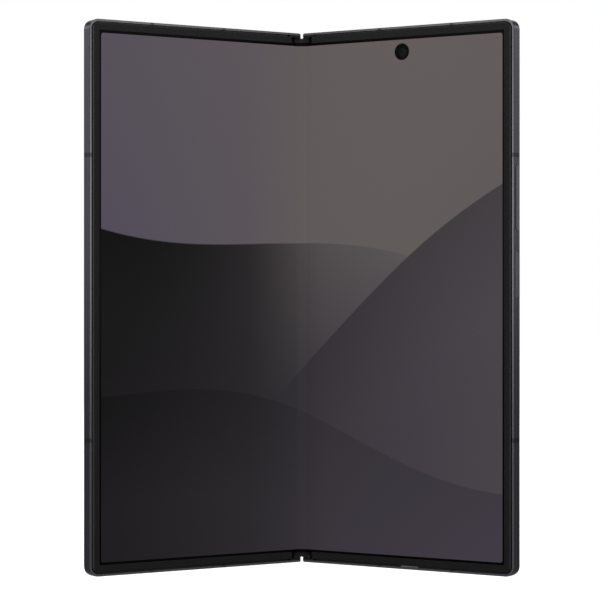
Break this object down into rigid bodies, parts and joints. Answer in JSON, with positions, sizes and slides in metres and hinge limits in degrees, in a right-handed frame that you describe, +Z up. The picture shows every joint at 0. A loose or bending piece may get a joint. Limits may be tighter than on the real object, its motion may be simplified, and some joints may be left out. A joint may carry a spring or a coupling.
{
  "type": "foldable smartphone",
  "caption": "Book-style folding phone standing half open: two thin framed halves, a one-piece folding display between them and a geared two-axis spine hinge.",
  "frame": {"origin": "centre of the footprint of the half-open phone, on the surface that its lower edges stand on", "axes": "+Z up along the height and the fold line; +Y towards the back, away from the folding display; +X towards the half with the rear cameras"},
  "size_m": [0.124, 0.0414, 0.1584],
  "materials": {
    "frame_aluminium": "satin",
    "antenna_plastic": "satin",
    "bezel_rubberised": "matte",
    "back_glass": "satin",
    "cover_glass": "gloss",
    "cover_panel": "gloss",
    "island_aluminium": "satin",
    "lens_ring": "polished",
    "lens_glass": "gloss",
    "camera_module": "matte",
    "flash_diffuser": "gloss",
    "display_film": "gloss",
    "plate_aluminium": "satin",
    "battery_foil": "matte",
    "circuit_board": "satin",
    "shield_tin": "satin",
    "copper_wire": "satin",
    "port_steel": "satin",
    "speaker_plastic": "matte",
    "motor_steel": "satin",
    "switch_brass": "satin",
    "hinge_steel": "satin",
    "screw_steel": "satin",
    "gear_bronze": "satin",
    "key_aluminium": "satin",
    "tray_plastic": "satin",
    "card_contacts": "gloss",
    "spine_aluminium": "satin",
    "cap_plastic": "matte"
  },
  "bodies": {
    "spine": {"spine_cover": "spine_aluminium", "spine_end_caps": "cap_plastic", "hinge_bases": "hinge_steel", "gear_shafts": "screw_steel", "base_screws": "screw_steel", "display_fold": "display_film"},
    "main_half": {"main_frame": "frame_aluminium", "main_antenna_breaks": "antenna_plastic", "main_bezel": "bezel_rubberised", "rear_glass": "back_glass", "camera_island": "island_aluminium", "camera_lens_rings": "lens_ring", "camera_lens_glasses": "lens_glass", "rear_cameras": "camera_module", "flash_lens": "flash_diffuser", "inner_camera": "camera_module", "inner_camera_window": "lens_glass", "main_display_panel": "display_film", "main_display_plate": "plate_aluminium", "main_battery": "battery_foil", "main_board": "circuit_board", "board_shields": "shield_tin", "charging_coil": "copper_wire", "charging_port": "port_steel", "port_board": "circuit_board", "main_speaker": "speaker_plastic", "haptic_motor": "motor_steel", "key_switches": "switch_brass", "main_hinge_brackets": "hinge_steel", "main_bracket_screws": "screw_steel"},
    "cover_half": {"cover_frame": "frame_aluminium", "cover_antenna_breaks": "antenna_plastic", "cover_bezel": "bezel_rubberised", "cover_glass": "cover_glass", "cover_display": "cover_panel", "cover_camera": "camera_module", "cover_display_panel": "display_film", "cover_display_plate": "plate_aluminium", "cover_battery": "battery_foil", "cover_board": "circuit_board", "cover_shields": "shield_tin", "top_speaker": "speaker_plastic", "tray_socket": "shield_tin", "cover_hinge_brackets": "hinge_steel", "cover_bracket_screws": "screw_steel"},
    "main_timing_lever": {"main_timing_levers": "hinge_steel"},
    "cover_timing_lever": {"cover_timing_levers": "hinge_steel"},
    "main_idler": {"main_idler_gears": "gear_bronze"},
    "cover_idler": {"cover_idler_gears": "gear_bronze"},
    "volume_key": {"volume_key": "key_aluminium"},
    "power_key": {"power_key": "key_aluminium"},
    "tray": {"card_tray": "tray_plastic", "sim_card": "card_contacts"}
  },
  "joints": [
    {"name": "fold_main", "type": "hinge", "parent": "spine", "child": "main_half", "pos_m": [0.00125, 0.01778, 0], "axis": [0, 0, -1], "range_deg": [-32.5, 57.5], "deforming": ["display_fold"]},
    {"name": "fold_cover", "type": "hinge", "parent": "spine", "child": "cover_half", "pos_m": [-0.00125, 0.01778, 0], "axis": [0, 0, 1], "range_deg": [-32.5, 57.5], "deforming": ["display_fold"]},
    {"name": "main_lever_turn", "type": "hinge", "parent": "spine", "child": "main_timing_lever", "pos_m": [0.0021, 0.01866, 0], "axis": [0, 0, -1], "range_deg": [-32.5, 57.5]},
    {"name": "main_idler_turn", "type": "hinge", "parent": "spine", "child": "main_idler", "pos_m": [0.0007, 0.01866, 0], "axis": [0, 0, 1], "range_deg": [-32.5, 57.5]},
    {"name": "cover_idler_turn", "type": "hinge", "parent": "spine", "child": "cover_idler", "pos_m": [-0.0007, 0.01866, 0], "axis": [0, 0, -1], "range_deg": [-32.5, 57.5]},
    {"name": "cover_lever_turn", "type": "hinge", "parent": "spine", "child": "cover_timing_lever", "pos_m": [-0.0021, 0.01866, 0], "axis": [0, 0, 1], "range_deg": [-32.5, 57.5]},
    {"name": "volume_press", "type": "slide", "parent": "main_half", "child": "volume_key", "axis": [-0.8434, 0.5373, 0], "range_m": [0, 0.0003], "stiffness_N_per_m": 2400, "springref_m": -0.00015},
    {"name": "power_press", "type": "slide", "parent": "main_half", "child": "power_key", "axis": [-0.8434, 0.5373, 0], "range_m": [0, 0.0003], "stiffness_N_per_m": 2400, "springref_m": -0.00015},
    {"name": "tray_slide", "type": "slide", "parent": "cover_half", "child": "tray", "axis": [0, 0, 1], "range_m": [0, 0.02]}
  ],
  "couplings": [
    {"joint": "fold_cover", "follows": "fold_main", "ratio": 1},
    {"joint": "main_lever_turn", "follows": "fold_main", "ratio": 1},
    {"joint": "main_idler_turn", "follows": "fold_main", "ratio": 1},
    {"joint": "cover_idler_turn", "follows": "fold_main", "ratio": 1},
    {"joint": "cover_lever_turn", "follows": "fold_main", "ratio": 1}
  ]
}
